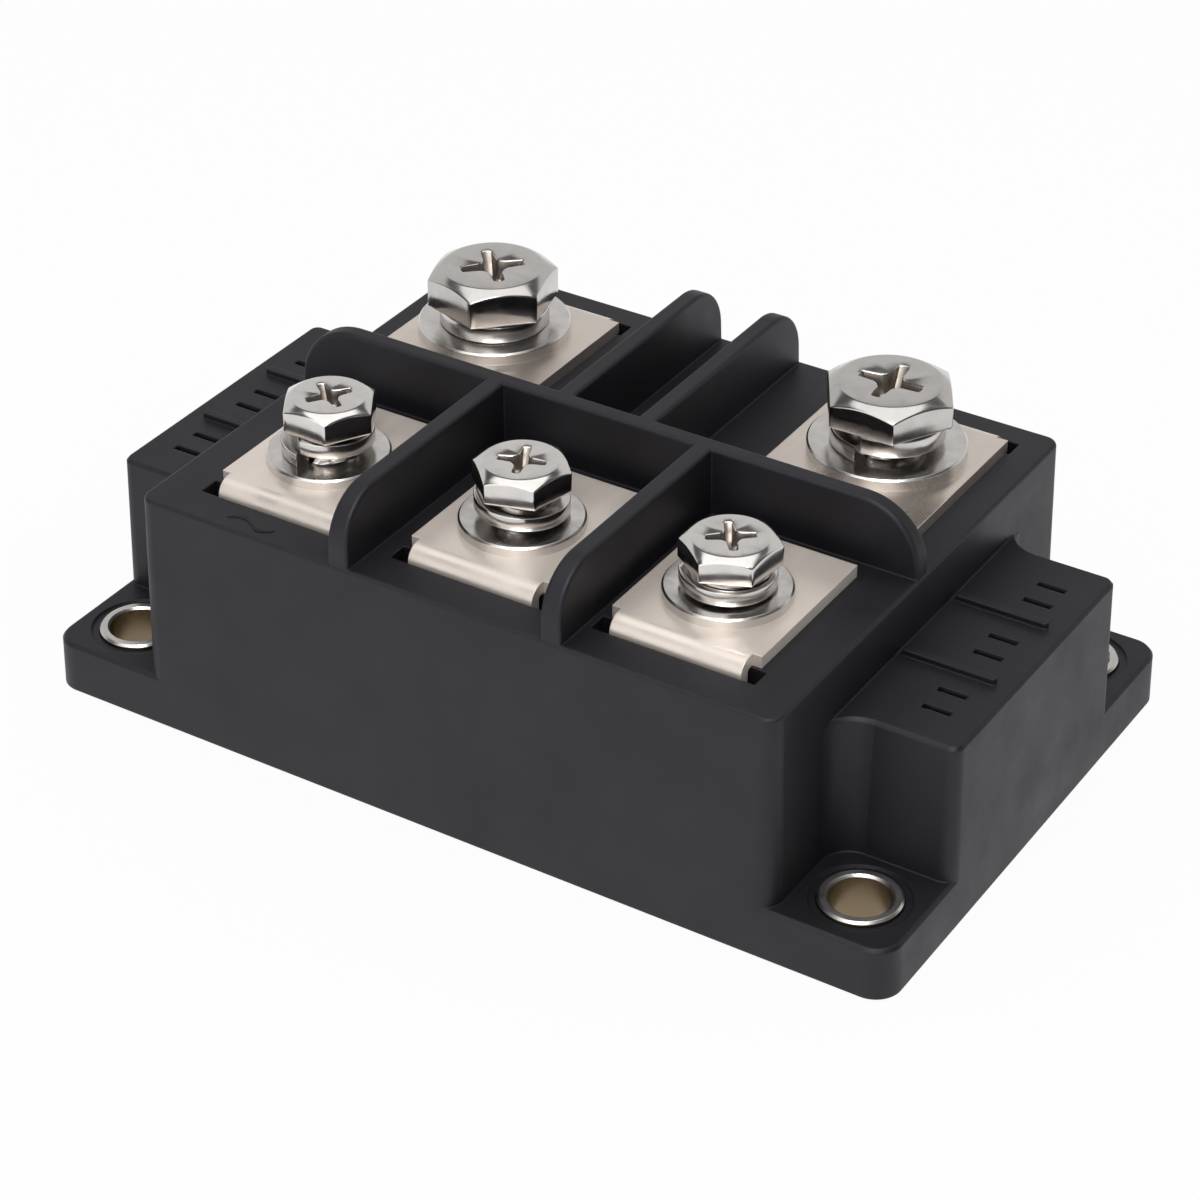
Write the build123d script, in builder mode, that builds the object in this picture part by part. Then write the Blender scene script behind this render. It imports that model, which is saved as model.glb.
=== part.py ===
"""Three-phase bridge rectifier module with screw terminals and gate contacts.

Millimetres. X runs along the long side, the AC terminals face -Y, the DC terminals +Y.
The origin is the centre of the cooling face, on the plane that meets the heatsink.
"""
import os
from math import cos, radians, tan

from build123d import *

os.makedirs("parts", exist_ok=True)

# Moulded housing, plan sizes at its foot
base_length = 105.0
base_width = 64.0
base_corner_radius = 3.0
foot_gap = 0.2
flange_top = 6.2
tower_top = 22.4
deck_top = 28.6
rail_top = 36.3
draft = 1.5
wall_thickness = 3.0
tower_roof = 2.5

# Block between the end towers, and the screw recesses at the four corners
block_half_length = 39.4
tower_half_width = 18.7
recess_radius = 3.2
tower_corner_radius = 1.8
block_corner_radius = 2.4
edge_round = 0.4
edge_slope = 40.0

# Barrier walls on the deck
barrier_y = -0.8
barrier_thickness = 2.4
barrier_end_radius = 7.0
rib_x = 12.9
rib_thickness = 2.6
fin_x = 5.05
fin_thickness = 2.5
rail_end_radius = 5.6
rail_end_gap = 0.1
rail_root = 0.6

# Mounting
mount_spacing_x = 91.0
mount_spacing_y = 50.0
mount_bore = 6.5
bushing_diameter = 8.8
bushing_rise = 0.3
bushing_chamfer = 0.25
press_gap = 0.05
spotface_diameter = 10.6
spotface_depth = 0.25

# Terminal sheet
sheet_thickness = 1.4
bend_radius = 1.1
ac_pitch = 24.3
ac_plate_width = 17.2
ac_plate_start = -4.5
ac_plate_shoulder = -23.9
ac_lip_face = -26.2
ac_lip_width = 15.1
dc_x = 24.6
dc_plate_width = 20.4
dc_plate_start = 1.5
dc_plate_shoulder = 25.8
dc_lip_face = 27.4
dc_lip_width = 17.6
slot_side_gap = 1.85
slot_face_gap = 0.5
slot_clearance = 0.2
plate_overlap = 6.0
leg_width = 6.0
leg_neck_z = 24.0
foot_length = 5.0
leg_setback = 0.6

# Terminal screws
ac_screw_y = -15.8
ac_screw_size = 6.0
ac_screw_length = 16.0
ac_head_flats = 9.5
ac_head_height = 3.3
ac_washer_diameter = 13.4
ac_washer_thickness = 1.1
ac_spring_diameter = 10.8
ac_spring_wire = 1.6
ac_nut_height = 5.0
ac_cross_span = 5.4
dc_screw_y = 17.3
dc_screw_size = 8.0
dc_screw_length = 20.0
dc_head_flats = 13.0
dc_head_height = 4.0
dc_washer_diameter = 17.3
dc_washer_thickness = 1.3
dc_spring_diameter = 13.4
dc_spring_wire = 1.95
dc_nut_height = 6.5
dc_cross_span = 7.6
head_disc_share = 0.33
head_slope = 13.0
lathe_share = 0.7
tip_chamfer_share = 0.1
cross_width_share = 0.19
cross_depth_share = 0.3
cross_taper = 14.0
spring_slit_angle = 7.0
spring_clearance = 0.15
washer_clearance = 0.2
washer_chamfer = 0.2
hole_clearance = 0.6
nut_clearance = 0.2
boss_wall = 1.2
screw_tip_clearance = 0.6

# Gate contacts in the end towers
gate_x = 46.8
gate_pair_pitch = 11.3
gate_pair_gap = 3.4
gate_tab_width = 2.8
gate_tab_thickness = 0.5
gate_tab_recess = 0.5
gate_slot_clearance = 0.2
gate_foot_z = 6.0
gate_foot_length = 5.5
gate_foot_width = 1.5
ridge_y = 5.9
ridge_width = 0.9
ridge_height = 0.7
ridge_end_x = 49.4

# Baseplate and the power stage on it
plate_thickness = 3.0
plate_half_length = 38.0
plate_half_width = 30.0
plate_arm_length = 50.4
plate_arm_width = 17.0
plate_corner_radius = 1.2
plate_clearance = 0.1
plate_chamfer = 0.3
cavity_half_length = 36.6
cavity_half_width = 28.6
cavity_arm_length = 49.2
cavity_arm_width = 15.4
tile_width = 23.0
tile_length = 56.0
tile_thickness = 0.7
track_thickness = 0.3
track_width = 21.0
ac_track = (-26.6, -4.0)
plus_track = (-2.5, 12.5)
minus_track = (14.5, 27.6)
chip_size = 9.0
chip_thickness = 0.35
chip_offset = 5.0
lower_chip_y = -13.0
upper_chip_y = 5.0
strap_width = 3.0
strap_thickness = 0.4
strap_level = 6.5
strap_foot = 3.0
bus_width = 1.6
bus_height = 1.2
bus_half_length = 34.0
plus_bus_y = -1.5
minus_bus_y = 16.0
gel_level = 9.5

# Levels and places that follow from the sizes above
lean = tan(radians(draft))
hex_corner = 1 / cos(radians(30))
flange_rim = flange_top - edge_round
tower_rim = tower_top - edge_round
deck_front_y = base_width / 2 - (deck_top - foot_gap) * lean
deck_end_x = block_half_length - (deck_top - foot_gap) * lean
cavity_top = deck_top - wall_thickness
arm_top = tower_top - tower_roof
sheet_top = deck_top + sheet_thickness
tile_top = plate_thickness + tile_thickness
track_top = tile_top + track_thickness
chip_top = track_top + chip_thickness
bend_clearance = bend_radius - sheet_thickness / 2 + slot_clearance
ac_positions = (-ac_pitch, 0.0, ac_pitch)
dc_positions = {"left": -dc_x, "right": dc_x}
mount_points = [
    (sx * mount_spacing_x / 2, sy * mount_spacing_y / 2) for sx in (-1, 1) for sy in (-1, 1)
]
gate_rows = [
    pair * gate_pair_pitch + side * gate_pair_gap / 2 for pair in (-1, 0, 1) for side in (-1, 1)
]

ac_screw = dict(
    y=ac_screw_y,
    size=ac_screw_size,
    length=ac_screw_length,
    flats=ac_head_flats,
    head=ac_head_height,
    washer=ac_washer_diameter,
    washer_t=ac_washer_thickness,
    spring=ac_spring_diameter,
    wire=ac_spring_wire,
    nut=ac_nut_height,
    cross=ac_cross_span,
)
dc_screw = dict(
    y=dc_screw_y,
    size=dc_screw_size,
    length=dc_screw_length,
    flats=dc_head_flats,
    head=dc_head_height,
    washer=dc_washer_diameter,
    washer_t=dc_washer_thickness,
    spring=dc_spring_diameter,
    wire=dc_spring_wire,
    nut=dc_nut_height,
    cross=dc_cross_span,
)

# Every screw joint: name, place along X, sizes, height left to the spring washer, and the turns
# of head, cross and washer slit
screw_joints = [
    ("ac_1", -24.9, ac_screw, 3.4, 62.0, 20.0, 200.0),
    ("ac_2", -0.3, ac_screw, 3.3, 13.0, 24.0, 130.0),
    ("ac_3", 24.3, ac_screw, 2.1, 24.5, 32.0, 205.0),
    ("dc_left", -25.7, dc_screw, 2.1, 46.0, 36.0, 100.0),
    ("dc_right", 24.6, dc_screw, 3.3, 56.5, 14.0, 258.0),
]
screw_x = {joint[0]: joint[1] for joint in screw_joints}


def save(part, name):
    """Label a finished piece and write its file."""
    part.label = name
    export_step(part, "parts/" + name + ".step")


def head_bottom(screw, spring_height):
    """Level of the underside of a screw head, on its two washers."""
    return sheet_top + screw["washer_t"] + spring_height


def across_x(x):
    """Upright plane across X at x, its own axes being Y and Z."""
    return Plane(origin=(x, 0, 0), x_dir=(0, 1, 0), z_dir=(1, 0, 0))


def screw_plane(x, screw):
    """Upright plane through a screw axis, its own axes being X and Z."""
    return Plane(origin=(x, screw["y"], 0), x_dir=(1, 0, 0), z_dir=(0, -1, 0))


def barrier_plane():
    """Upright plane along the barrier wall, its own axes being X and Z."""
    return Plane(origin=(0, barrier_y, 0), x_dir=(1, 0, 0), z_dir=(0, -1, 0))


def set_in(level):
    """How far the drafted walls have moved in from the foot at this level."""
    return (level - foot_gap) * lean


def moulding_plan(level):
    """Block and both towers in plan at this level, with hollow corners between them."""
    shift = set_in(level)
    corner_x = block_half_length - shift
    corner_y = tower_half_width - shift
    Rectangle(base_length - 2 * shift, 2 * corner_y)
    Rectangle(2 * corner_x, base_width - 2 * shift)
    ends = vertices().group_by(Axis.X)
    fillet(ends[0] + ends[-1], tower_corner_radius - shift)
    sides = vertices().group_by(Axis.Y)
    fillet(sides[0] + sides[-1], block_corner_radius - shift)
    hollows = vertices().filter_by(
        lambda corner: abs(abs(corner.X) - corner_x) < 0.01 and abs(abs(corner.Y) - corner_y) < 0.01
    )
    fillet(hollows, recess_radius + shift)


def rail(plane, start, end, thickness, radius, free_start=False):
    """Drafted wall on the deck, rounded over its free end, with a soft top edge."""
    way = 1 if end > start else -1
    set_back = way * (rail_top - deck_top) * lean
    top_start = start + set_back if free_start else start
    root_level = deck_top - rail_root
    with BuildPart() as wall:
        with BuildSketch(plane):
            with BuildLine():
                Polyline(
                    (start, root_level),
                    (end, root_level),
                    (end - set_back, rail_top),
                    (top_start, rail_top),
                    close=True,
                )
            make_face()
            top_corners = vertices().group_by(Axis.Y)[-1].sort_by(Axis.X)
            if not free_start:
                top_corners = top_corners[-1:] if way > 0 else top_corners[:1]
            fillet(top_corners, radius)
        extrude(amount=thickness / 2, both=True)
        footprint = Plane(
            origin=(plane.origin.X, plane.origin.Y, root_level), x_dir=plane.x_dir, z_dir=(0, 0, 1)
        )
        with BuildSketch(footprint):
            Rectangle(2 * base_length, thickness)
        extrude(amount=rail_top - root_level, taper=draft, mode=Mode.INTERSECT)
        sides = wall.faces().filter_by(lambda face: abs(face.normal_at().dot(plane.z_dir)) > 0.9)
        soft = [
            edge
            for edge in sides.edges()
            if edge.center().Z > root_level + 0.01
            and (free_start or abs(plane.to_local_coords(edge.center()).X - start) > 0.01)
        ]
        fillet(soft, edge_round)
    return wall.part


def cross_outline(half_length, half_width, arm_length, arm_width, radius, grow=0.0):
    """Cross of the block and its two arms, inside the current sketch."""
    Rectangle(2 * (half_length + grow), 2 * (half_width + grow))
    Rectangle(2 * (arm_length + grow), 2 * (arm_width + grow))
    fillet(vertices(), radius)


# Housing
with BuildPart() as housing:
    # flange, with a bevelled upper edge
    with BuildSketch(Plane.XY.offset(foot_gap)):
        RectangleRounded(base_length, base_width, base_corner_radius)
    extrude(amount=flange_rim - foot_gap, taper=draft)
    rim_shift = set_in(flange_rim)
    with BuildSketch(Plane.XY.offset(flange_rim)):
        RectangleRounded(
            base_length - 2 * rim_shift, base_width - 2 * rim_shift, base_corner_radius - rim_shift
        )
    extrude(amount=edge_round, taper=edge_slope)

    # towers at both ends, with hollow corners beside the block
    with BuildSketch(Plane.XY.offset(flange_rim)):
        moulding_plan(flange_rim)
    extrude(amount=tower_rim - flange_rim, taper=draft)
    with BuildSketch(Plane.XY.offset(tower_rim)):
        moulding_plan(tower_rim)
    extrude(amount=edge_round, taper=edge_slope)

    # the block rises on to the deck
    with BuildSketch(Plane.XY.offset(flange_rim)):
        RectangleRounded(
            2 * (block_half_length - rim_shift),
            base_width - 2 * rim_shift,
            block_corner_radius - rim_shift,
        )
    extrude(amount=deck_top - flange_rim, taper=draft)
    fillet(housing.faces().sort_by(Axis.Z)[-1].edges(), edge_round)

    # barrier wall along the deck, with ribs to the front and fins to the rear
    wall_end = deck_end_x - rail_end_gap
    rail_end = deck_front_y - rail_end_gap
    add(rail(barrier_plane(), -wall_end, wall_end, barrier_thickness, barrier_end_radius, True))
    for side in (-1, 1):
        add(rail(across_x(side * rib_x), barrier_y, -rail_end, rib_thickness, rail_end_radius))
        add(rail(across_x(side * fin_x), barrier_y, rail_end, fin_thickness, rail_end_radius))

    # hollow inside, and the rebate that takes the baseplate
    with BuildSketch(Plane.XY.offset(foot_gap)):
        cross_outline(
            plate_half_length,
            plate_half_width,
            plate_arm_length,
            plate_arm_width,
            plate_corner_radius,
            plate_clearance,
        )
    extrude(amount=plate_thickness - foot_gap, mode=Mode.SUBTRACT)
    with BuildSketch(Plane.XY.offset(plate_thickness)):
        Rectangle(2 * cavity_half_length, 2 * cavity_half_width)
    extrude(amount=cavity_top - plate_thickness, mode=Mode.SUBTRACT)
    with BuildSketch(Plane.XY.offset(plate_thickness)):
        Rectangle(2 * cavity_arm_length, 2 * cavity_arm_width)
    extrude(amount=arm_top - plate_thickness, mode=Mode.SUBTRACT)

    # bosses that hold the captive nuts
    for name, x, screw, spring_height, head_turn, cross_turn, slit_turn in screw_joints:
        tip = head_bottom(screw, spring_height) - screw["length"]
        boss_bottom = tip - screw_tip_clearance - boss_wall
        pocket = screw["flats"] + nut_clearance
        with BuildSketch(Plane((x, screw["y"], boss_bottom))):
            Rectangle(pocket * hex_corner + 2 * boss_wall, pocket + 2 * boss_wall)
        extrude(amount=cavity_top - boss_bottom)
        with BuildSketch(Plane((x, screw["y"], deck_top - screw["nut"] - nut_clearance))):
            RegularPolygon(radius=pocket / 2, side_count=6, major_radius=False)
        extrude(amount=screw["nut"] + 2 * nut_clearance, mode=Mode.SUBTRACT)
        with BuildSketch(Plane((x, screw["y"], tip - screw_tip_clearance))):
            Circle(screw["size"] / 2 + hole_clearance)
        extrude(amount=deck_top - tip, mode=Mode.SUBTRACT)

    # slots that the terminal legs drop through
    for x in ac_positions:
        slot_depth = slot_face_gap + sheet_thickness + bend_clearance
        with BuildSketch(Plane((x, ac_lip_face - slot_face_gap + slot_depth / 2, cavity_top))):
            Rectangle(ac_lip_width + 2 * slot_side_gap, slot_depth)
        extrude(amount=wall_thickness, mode=Mode.SUBTRACT)
    for x in dc_positions.values():
        slot_depth = slot_face_gap + sheet_thickness + bend_clearance
        with BuildSketch(Plane((x, dc_lip_face + slot_face_gap - slot_depth / 2, cavity_top))):
            Rectangle(dc_lip_width + 2 * slot_side_gap, slot_depth)
        extrude(amount=wall_thickness, mode=Mode.SUBTRACT)

    # slots and divider ridges on the two towers
    for side in (-1, 1):
        for y in gate_rows:
            with BuildSketch(Plane((side * gate_x, y, arm_top))):
                Rectangle(
                    gate_tab_width + 2 * gate_slot_clearance,
                    gate_tab_thickness + 2 * gate_slot_clearance,
                )
            extrude(amount=tower_top - arm_top, mode=Mode.SUBTRACT)
        ridge_length = ridge_end_x - block_half_length
        for y in (-ridge_y, ridge_y):
            with BuildSketch(Plane((side * block_half_length, y, tower_top))):
                with Locations((side * ridge_length / 2, 0)):
                    Rectangle(ridge_length, ridge_width)
                with Locations((side * ridge_length, 0)):
                    Circle(ridge_width / 2)
            extrude(amount=ridge_height)

    # holes for the mounting bushings
    for x, y in mount_points:
        with BuildSketch(Plane((x, y, flange_top - spotface_depth))):
            Circle(spotface_diameter / 2)
        extrude(amount=spotface_depth, mode=Mode.SUBTRACT)
        with BuildSketch(Plane((x, y, foot_gap))):
            Circle(bushing_diameter / 2 + press_gap)
        extrude(amount=flange_top - foot_gap, mode=Mode.SUBTRACT)
save(housing.part, "housing")

# Baseplate
with BuildPart() as baseplate:
    with BuildSketch():
        cross_outline(
            plate_half_length,
            plate_half_width,
            plate_arm_length,
            plate_arm_width,
            plate_corner_radius,
        )
    extrude(amount=plate_thickness)
    chamfer(baseplate.faces().sort_by(Axis.Z)[0].edges(), plate_chamfer)
save(baseplate.part, "baseplate")

# Mounting bushings, numbered front left, rear left, front right, rear right
bushing_names = ("front_left", "rear_left", "front_right", "rear_right")
for name, (x, y) in zip(bushing_names, mount_points):
    with BuildPart() as bushing:
        with BuildSketch(Plane((x, y, 0))):
            Circle(bushing_diameter / 2)
            Circle(mount_bore / 2, mode=Mode.SUBTRACT)
        extrude(amount=flange_top + bushing_rise)
        chamfer(bushing.faces().sort_by(Axis.Z)[-1].edges(), bushing_chamfer)
    save(bushing.part, "mounting_bushing_" + name)


def terminal(x, hole_x, plate_width, start, shoulder, lip_width, screw, path):
    """Folded terminal: screw plate on the deck, leg down to the power stage."""
    with BuildPart() as sheet:
        with BuildSketch(across_x(x)):
            with BuildLine():
                FilletPolyline(*path, radius=bend_radius)
            trace(line_width=sheet_thickness)
        extrude(amount=lip_width / 2, both=True)
        # below the neck the leg is narrower
        neck_height = leg_neck_z - track_top
        side_cut = lip_width
        for side in (-1, 1):
            with BuildSketch(Plane((x + side * (leg_width + side_cut) / 2, 0, track_top))):
                Rectangle(side_cut, base_width)
            extrude(amount=neck_height, mode=Mode.SUBTRACT)
        with BuildSketch(Plane((x, (start + shoulder) / 2, deck_top))):
            Rectangle(plate_width, abs(shoulder - start))
        extrude(amount=sheet_thickness)
        with BuildSketch(Plane((hole_x, screw["y"], deck_top))):
            Circle(screw["size"] / 2 + hole_clearance / 2)
        extrude(amount=sheet_thickness, mode=Mode.SUBTRACT)
    return sheet


# Terminals
mid_level = deck_top + sheet_thickness / 2
foot_level = track_top + sheet_thickness / 2
ac_leg_y = ac_lip_face + sheet_thickness / 2
dc_leg_y = dc_lip_face - sheet_thickness / 2
ac_path = [
    (ac_plate_shoulder + plate_overlap, mid_level),
    (ac_leg_y, mid_level),
    (ac_leg_y, foot_level),
    (ac_leg_y + foot_length, foot_level),
]
minus_path = [
    (dc_plate_shoulder - plate_overlap, mid_level),
    (dc_leg_y, mid_level),
    (dc_leg_y, foot_level),
    (dc_leg_y - foot_length, foot_level),
]
bridge_level = strap_level + strap_thickness / 2 + sheet_thickness
plus_leg_y = plus_track[1] - sheet_thickness / 2 - leg_setback
plus_path = [
    (dc_plate_shoulder - plate_overlap, mid_level),
    (dc_leg_y, mid_level),
    (dc_leg_y, bridge_level),
    (plus_leg_y, bridge_level),
    (plus_leg_y, track_top),
]
ac_terminals = []
for number, x in enumerate(ac_positions, 1):
    piece = terminal(
        x,
        screw_x["ac_" + str(number)],
        ac_plate_width,
        ac_plate_start,
        ac_plate_shoulder,
        ac_lip_width,
        ac_screw,
        ac_path,
    )
    ac_terminals.append(piece)
    save(piece.part, "ac_terminal_" + str(number))
dc_terminals = []
for name, path in (("left", minus_path), ("right", plus_path)):
    piece = terminal(
        dc_positions[name],
        screw_x["dc_" + name],
        dc_plate_width,
        dc_plate_start,
        dc_plate_shoulder,
        dc_lip_width,
        dc_screw,
        path,
    )
    dc_terminals.append(piece)
    save(piece.part, "dc_terminal_" + name)

# Terminal screws with their washers and captive nuts
for name, x, screw, spring_height, head_turn, cross_turn, slit_turn in screw_joints:
    head_z = head_bottom(screw, spring_height)
    head_end = head_z + screw["head"]
    reach = screw["flats"] * lathe_share
    disc = screw["flats"] * head_disc_share
    axis = Axis((x, screw["y"], 0), (0, 0, 1))
    with BuildPart() as bolt:
        with BuildSketch(Plane((x, screw["y"], head_z))):
            RegularPolygon(
                radius=screw["flats"] / 2, side_count=6, major_radius=False, rotation=head_turn
            )
        extrude(amount=screw["head"])
        with BuildSketch(screw_plane(x, screw)):
            with BuildLine():
                Polyline(
                    (0, head_z),
                    (reach, head_z),
                    (reach, head_end - (reach - disc) * tan(radians(head_slope))),
                    (disc, head_end),
                    (0, head_end),
                    close=True,
                )
            make_face()
        revolve(axis=axis, mode=Mode.INTERSECT)
        with BuildSketch(Plane((x, screw["y"], head_end))):
            Rectangle(screw["cross"], screw["cross"] * cross_width_share, rotation=cross_turn)
            Rectangle(screw["cross"] * cross_width_share, screw["cross"], rotation=cross_turn)
        extrude(amount=-screw["cross"] * cross_depth_share, taper=cross_taper, mode=Mode.SUBTRACT)
        with BuildSketch(Plane((x, screw["y"], head_z))):
            Circle(screw["size"] / 2)
        extrude(amount=-screw["length"])
        chamfer(bolt.edges().group_by(Axis.Z)[0], screw["size"] * tip_chamfer_share)
    save(bolt.part, name + "_bolt")

    # one left-handed turn of square wire, its ends parted
    wire_width = screw["spring"] / 2 - screw["size"] / 2 - spring_clearance
    coil_rise = spring_height - screw["wire"]
    coil_turns = 1 - spring_slit_angle / 360
    with BuildPart() as spring_washer:
        with BuildLine():
            coil = Helix(
                pitch=coil_rise / coil_turns,
                height=coil_rise,
                radius=(screw["spring"] - wire_width) / 2,
                lefthand=True,
            )
        with BuildSketch(Plane(origin=coil @ 0, x_dir=(1, 0, 0), z_dir=(0, -1, 0))):
            Rectangle(wire_width, screw["wire"])
        sweep(is_frenet=True)
    coil_level = sheet_top + screw["washer_t"] + screw["wire"] / 2
    coil_start = slit_turn - spring_slit_angle / 2
    coil_place = Location((x, screw["y"], coil_level), (0, 0, coil_start))
    save(spring_washer.part.moved(coil_place), name + "_spring_washer")

    with BuildPart() as washer:
        with BuildSketch(Plane((x, screw["y"], sheet_top))):
            Circle(screw["washer"] / 2)
            Circle(screw["size"] / 2 + washer_clearance, mode=Mode.SUBTRACT)
        extrude(amount=screw["washer_t"])
        chamfer(washer.faces().sort_by(Axis.Z)[-1].edges(), washer_chamfer)
    save(washer.part, name + "_washer")

    with BuildPart() as nut:
        with BuildSketch(Plane((x, screw["y"], deck_top - screw["nut"]))):
            RegularPolygon(radius=screw["flats"] / 2, side_count=6, major_radius=False)
            Circle(screw["size"] / 2 + press_gap, mode=Mode.SUBTRACT)
        extrude(amount=screw["nut"])
    save(nut.part, name + "_nut")

# Gate contacts, a gate and a cathode tab to each pair
gate_top = tower_top - gate_tab_recess
gate_pairs = []
for side, side_name in ((-1, "left"), (1, "right")):
    for pair in range(3):
        with BuildPart() as gate_pair:
            for y in gate_rows[2 * pair : 2 * pair + 2]:
                upright = gate_top - gate_foot_z
                with BuildSketch(Plane((side * gate_x, y, gate_foot_z))):
                    Rectangle(gate_tab_width, gate_tab_thickness)
                extrude(amount=upright)
                foot_x = side * (gate_x - gate_foot_length / 2)
                with BuildSketch(Plane((foot_x, y, gate_foot_z))):
                    Rectangle(gate_foot_length, gate_foot_width)
                extrude(amount=gate_tab_thickness)
        gate_pairs.append(gate_pair)
        save(gate_pair.part, "gate_contacts_" + side_name + "_" + str(pair + 1))

# Power stage: one ceramic tile with copper tracks, two chips and two straps to each phase
stage_parts = []
for number, x in enumerate(ac_positions, 1):
    with BuildPart() as substrate:
        with BuildSketch(Plane((x, 0, plate_thickness))):
            Rectangle(tile_width, tile_length)
        extrude(amount=tile_thickness)
        for start, end in (ac_track, plus_track, minus_track):
            with BuildSketch(Plane((x, (start + end) / 2, tile_top))):
                Rectangle(track_width, end - start)
            extrude(amount=track_thickness)
    stage_parts.append(substrate)
    save(substrate.part, "substrate_" + str(number))

    lower_path = [
        (lower_chip_y - strap_foot / 2, chip_top + strap_thickness / 2),
        (lower_chip_y + strap_foot / 2, chip_top + strap_thickness / 2),
        (lower_chip_y + strap_foot, strap_level),
        (minus_bus_y + bus_width, strap_level),
        (minus_bus_y + bus_width + strap_foot / 2, track_top + strap_thickness / 2),
        (minus_bus_y + bus_width + 1.5 * strap_foot, track_top + strap_thickness / 2),
    ]
    upper_path = [
        (upper_chip_y + strap_foot / 2, chip_top + strap_thickness / 2),
        (upper_chip_y - strap_foot / 2, chip_top + strap_thickness / 2),
        (upper_chip_y - strap_foot, strap_level),
        (plus_bus_y - bus_width, strap_level),
        (plus_bus_y - bus_width - strap_foot / 2, track_top + strap_thickness / 2),
        (plus_bus_y - bus_width - 1.5 * strap_foot, track_top + strap_thickness / 2),
    ]
    places = (
        ("lower", -chip_offset, lower_chip_y, lower_path),
        ("upper", chip_offset, upper_chip_y, upper_path),
    )
    for level, offset, chip_y, path in places:
        with BuildPart() as chip:
            with BuildSketch(Plane((x + offset, chip_y, track_top))):
                Rectangle(chip_size, chip_size)
            extrude(amount=chip_thickness)
        stage_parts.append(chip)
        save(chip.part, "chip_" + str(number) + "_" + level)
        with BuildPart() as strap:
            with BuildSketch(across_x(x + offset)):
                with BuildLine():
                    FilletPolyline(*path, radius=strap_thickness)
                trace(line_width=strap_thickness)
            extrude(amount=strap_width / 2, both=True)
        stage_parts.append(strap)
        save(strap.part, "strap_" + str(number) + "_" + level)

# Busbars that join the three phases
for name, y in (("plus", plus_bus_y), ("minus", minus_bus_y)):
    with BuildPart() as busbar:
        with BuildSketch(Plane((0, y, track_top))):
            Rectangle(2 * bus_half_length, bus_width)
        extrude(amount=bus_height)
    stage_parts.append(busbar)
    save(busbar.part, "busbar_" + name)

# Silicone gel round the power stage
with BuildPart() as gel:
    with BuildSketch(Plane.XY.offset(plate_thickness)):
        Rectangle(2 * cavity_half_length, 2 * cavity_half_width)
        Rectangle(2 * cavity_arm_length, 2 * cavity_arm_width)
    extrude(amount=gel_level - plate_thickness)
    for piece in stage_parts + ac_terminals + dc_terminals + gate_pairs:
        add(piece.part, mode=Mode.SUBTRACT)
save(gel.part, "silicone_gel")
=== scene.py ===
"""Looks of a three-phase bridge rectifier module, dressed round its solid model.

Run it as a script: it loads the solid model, gives every piece its finish, replaces the terminal
screws and the spring washers by detailed ones, and sets up the studio. Metres, +Z up out of the
heatsink, AC terminals towards -Y.
"""

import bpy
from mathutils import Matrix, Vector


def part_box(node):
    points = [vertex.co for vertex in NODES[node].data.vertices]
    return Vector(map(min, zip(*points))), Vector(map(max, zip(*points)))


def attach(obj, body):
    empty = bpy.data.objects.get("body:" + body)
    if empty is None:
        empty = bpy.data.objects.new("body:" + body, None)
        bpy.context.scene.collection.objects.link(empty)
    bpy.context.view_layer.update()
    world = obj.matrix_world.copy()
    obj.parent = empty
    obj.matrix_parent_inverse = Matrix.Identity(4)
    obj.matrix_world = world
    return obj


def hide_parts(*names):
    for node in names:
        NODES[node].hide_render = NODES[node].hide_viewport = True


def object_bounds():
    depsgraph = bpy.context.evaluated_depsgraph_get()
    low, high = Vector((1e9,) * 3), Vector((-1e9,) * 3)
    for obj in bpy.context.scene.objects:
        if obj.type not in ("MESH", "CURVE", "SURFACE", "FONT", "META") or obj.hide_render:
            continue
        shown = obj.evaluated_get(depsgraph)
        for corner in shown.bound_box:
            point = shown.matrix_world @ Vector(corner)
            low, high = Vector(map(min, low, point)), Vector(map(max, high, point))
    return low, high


bl_info = {
    "name": "Rectifier module looks",
    "version": (1, 0, 0),
    "blender": (4, 5, 0),
    "location": "3D View > Sidebar > Rectifier",
    "description": "Finishes, screws and studio for a three-phase bridge rectifier module",
    "category": "Object",
}

from math import cos, pi, radians, sin, tan

import bmesh
import bpy
from bpy.props import FloatProperty, FloatVectorProperty, PointerProperty
from mathutils import Matrix, Vector

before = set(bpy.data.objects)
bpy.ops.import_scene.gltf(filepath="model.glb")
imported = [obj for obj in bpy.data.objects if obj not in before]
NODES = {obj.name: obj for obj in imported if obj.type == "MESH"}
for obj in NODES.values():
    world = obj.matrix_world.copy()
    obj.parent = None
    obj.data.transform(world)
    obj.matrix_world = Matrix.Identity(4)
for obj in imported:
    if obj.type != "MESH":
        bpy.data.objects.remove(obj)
CAD_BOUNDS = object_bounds()
MM = 0.001

# the finishes' lines, as the noise scale along each axis, and the depth of their bumps
DRAWN_LINES = (2600.0, 90.0, 90.0)
LAPPED_LINES = (140.0, 2400.0, 140.0)
TURNED_LINES = (200.0, 200.0, 9000.0)
FINE_BUMP = 0.01 * MM

# mesh steps and small forms of the screws and lock washers
SIDE_STEPS = 14
TURN_STEPS = 6
COIL_STEPS = 96
POINT_HEIGHT = 0.5 * MM
POINT_CHAMFER = 0.6 * MM
THREAD_RUN_OUT = 1.2 * MM
THREAD_DEPTH_SHARE = 0.55
UNDER_ROUND = 0.15 * MM
WIRE_ROUND = 0.16 * MM
WIRE_CLEARANCE = 0.15
SHARP_ANGLE = radians(38)
# cross recess from rim to floor: share of the span, share of the arms' width, depth by half the span
RECESS_LEVELS = ((1.0, 1.0, 0.0), (0.80, 0.86, 0.30), (0.55, 0.66, 0.62), (0.42, 0.35, 0.70))

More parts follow.
